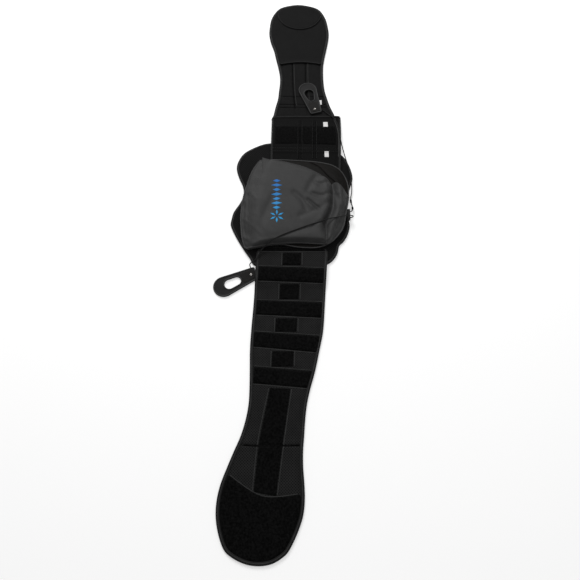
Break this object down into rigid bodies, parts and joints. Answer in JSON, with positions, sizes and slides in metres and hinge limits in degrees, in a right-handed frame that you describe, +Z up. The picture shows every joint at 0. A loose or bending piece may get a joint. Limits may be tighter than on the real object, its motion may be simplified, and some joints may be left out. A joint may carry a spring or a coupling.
{
  "type": "cold compression back wrap",
  "caption": "Lumbar wrap laid open: butterfly back pad with a cold pack pouch, a pulley cinch with cords and pull tabs, and closure wings with loop strips and a hand pocket.",
  "frame": {"origin": "centre of the laid-open wrap's plan box, on the surface that it lies on", "axes": "+Y along the belt towards the short wing with the hand pocket, +X across the belt towards the side where the cords leave the pouch, +Z up through the outer side"},
  "size_m": [0.332, 1.4668, 0.0382],
  "materials": {
    "lining_fabric": "soft brushed knit",
    "back_plastic": "matte",
    "foam_laminate": "matte fabric on foam",
    "binding_tape": "woven tape",
    "pouch_nylon": "coated woven nylon",
    "mechanism_plastic": "moulded",
    "pin_steel": "turned",
    "loop_fabric": "brushed loop",
    "hook_tape": "hook tape",
    "spacer_mesh": "open spacer mesh",
    "tab_plastic": "soft moulded",
    "tab_knit": "knit",
    "eyelet_metal": "plated",
    "tag_fabric": "woven tag",
    "cord_black": "braided",
    "gel_film": "black film over gel"
  },
  "bodies": {
    "back_pad": {"pad_lining": "lining_fabric", "back_plate": "back_plastic", "pad_shell": "foam_laminate", "pad_binding": "binding_tape", "pouch_cover": "pouch_nylon", "pouch_piping": "pouch_nylon", "pocket_liner": "pouch_nylon", "cord_guide": "mechanism_plastic", "side_cord": "cord_black", "long_cord": "cord_black"},
    "short_side": {"short_pulley_plate": "mechanism_plastic", "short_axle_pins": "pin_steel", "side_panel": "foam_laminate", "side_panel_outer": "foam_laminate", "side_panel_binding": "binding_tape", "side_panel_stays": "mechanism_plastic", "side_panel_loop": "loop_fabric", "side_panel_tags": "tag_fabric", "corner_cord": "cord_black"},
    "front": {"front_piece": "foam_laminate", "front_binding": "binding_tape", "front_stays": "mechanism_plastic", "front_hook": "hook_tape", "hand_pocket": "foam_laminate", "front_end_patch": "foam_laminate", "front_tag": "tag_fabric", "tail_cord": "cord_black"},
    "short_pull": {"short_tab": "tab_plastic", "short_tab_patch": "tab_knit", "short_tab_hook": "hook_tape", "short_tab_eyelet": "eyelet_metal"},
    "long_root": {"long_pulley_plate": "mechanism_plastic", "long_axle_pins": "pin_steel", "wing_root": "spacer_mesh", "wing_root_binding": "binding_tape", "wing_root_loops": "loop_fabric"},
    "wing": {"long_wing": "spacer_mesh", "long_wing_binding": "binding_tape", "cross_loops": "loop_fabric", "centre_loop": "loop_fabric"},
    "end": {"wing_end": "spacer_mesh", "wing_end_binding": "binding_tape", "end_loop_patch": "loop_fabric", "end_centre_loop": "loop_fabric"},
    "long_pull": {"long_tab": "tab_plastic", "long_tab_patch": "tab_knit", "long_tab_hook": "hook_tape", "long_tab_eyelet": "eyelet_metal"},
    "pack": {"cold_pack": "gel_film"},
    "short_pulley_left": {"short_wheel_left": "mechanism_plastic"},
    "short_pulley_right": {"short_wheel_right": "mechanism_plastic"},
    "long_pulley_left": {"long_wheel_left": "mechanism_plastic"},
    "long_pulley_right": {"long_wheel_right": "mechanism_plastic"}
  },
  "joints": [
    {"name": "short_cinch", "type": "slide", "parent": "back_pad", "child": "short_side", "axis": [0, -1, 0], "range_m": [0, 0.015], "deforming": ["side_cord"]},
    {"name": "front_fold", "type": "hinge", "parent": "short_side", "child": "front", "pos_m": [0.045, 0.3177, 0.0072], "axis": [1, 0, 0], "range_deg": [0, 120], "deforming": ["corner_cord"]},
    {"name": "short_pull", "type": "slide", "parent": "front", "child": "short_pull", "axis": [-0.2706, 0.9627, 0], "range_m": [0, 0.06], "deforming": ["tail_cord"]},
    {"name": "long_cinch", "type": "slide", "parent": "back_pad", "child": "long_root", "axis": [0, 1, 0], "range_m": [0, 0.015]},
    {"name": "wing_fold", "type": "hinge", "parent": "long_root", "child": "wing", "pos_m": [0.008, -0.186, 0.0065], "axis": [-1, 0, 0], "range_deg": [0, 90]},
    {"name": "end_fold", "type": "hinge", "parent": "wing", "child": "end", "pos_m": [-0.025, -0.519, 0.006], "axis": [-1, 0, 0], "range_deg": [0, 90]},
    {"name": "long_pull", "type": "slide", "parent": "back_pad", "child": "long_pull", "axis": [-0.8988, -0.4384, 0], "range_m": [0, 0.06], "deforming": ["long_cord"]},
    {"name": "pack_slide", "type": "slide", "parent": "back_pad", "child": "pack", "axis": [0, 1, 0], "range_m": [0, 0.15]},
    {"name": "short_left_spin", "type": "hinge", "parent": "short_side", "child": "short_pulley_left", "pos_m": [0, 0.072, 0.0159], "axis": [0, 0, 1], "range_deg": [0, 215]},
    {"name": "short_right_spin", "type": "hinge", "parent": "short_side", "child": "short_pulley_right", "pos_m": [0.08, 0.072, 0.0159], "axis": [0, 0, 1], "range_deg": [-430, 0]},
    {"name": "long_left_spin", "type": "hinge", "parent": "long_root", "child": "long_pulley_left", "pos_m": [0, -0.006, 0.0159], "axis": [0, 0, 1], "range_deg": [0, 215]},
    {"name": "long_right_spin", "type": "hinge", "parent": "long_root", "child": "long_pulley_right", "pos_m": [0.08, -0.006, 0.0159], "axis": [0, 0, 1], "range_deg": [-430, 0]}
  ],
  "couplings": [
    {"joint": "short_pull", "follows": "short_cinch", "ratio": 4},
    {"joint": "long_pull", "follows": "long_cinch", "ratio": 4},
    {"joint": "short_left_spin", "follows": "short_cinch", "rad_per_m": 250},
    {"joint": "short_right_spin", "follows": "short_cinch", "rad_per_m": -500},
    {"joint": "long_left_spin", "follows": "long_cinch", "rad_per_m": 250},
    {"joint": "long_right_spin", "follows": "long_cinch", "rad_per_m": -500}
  ]
}
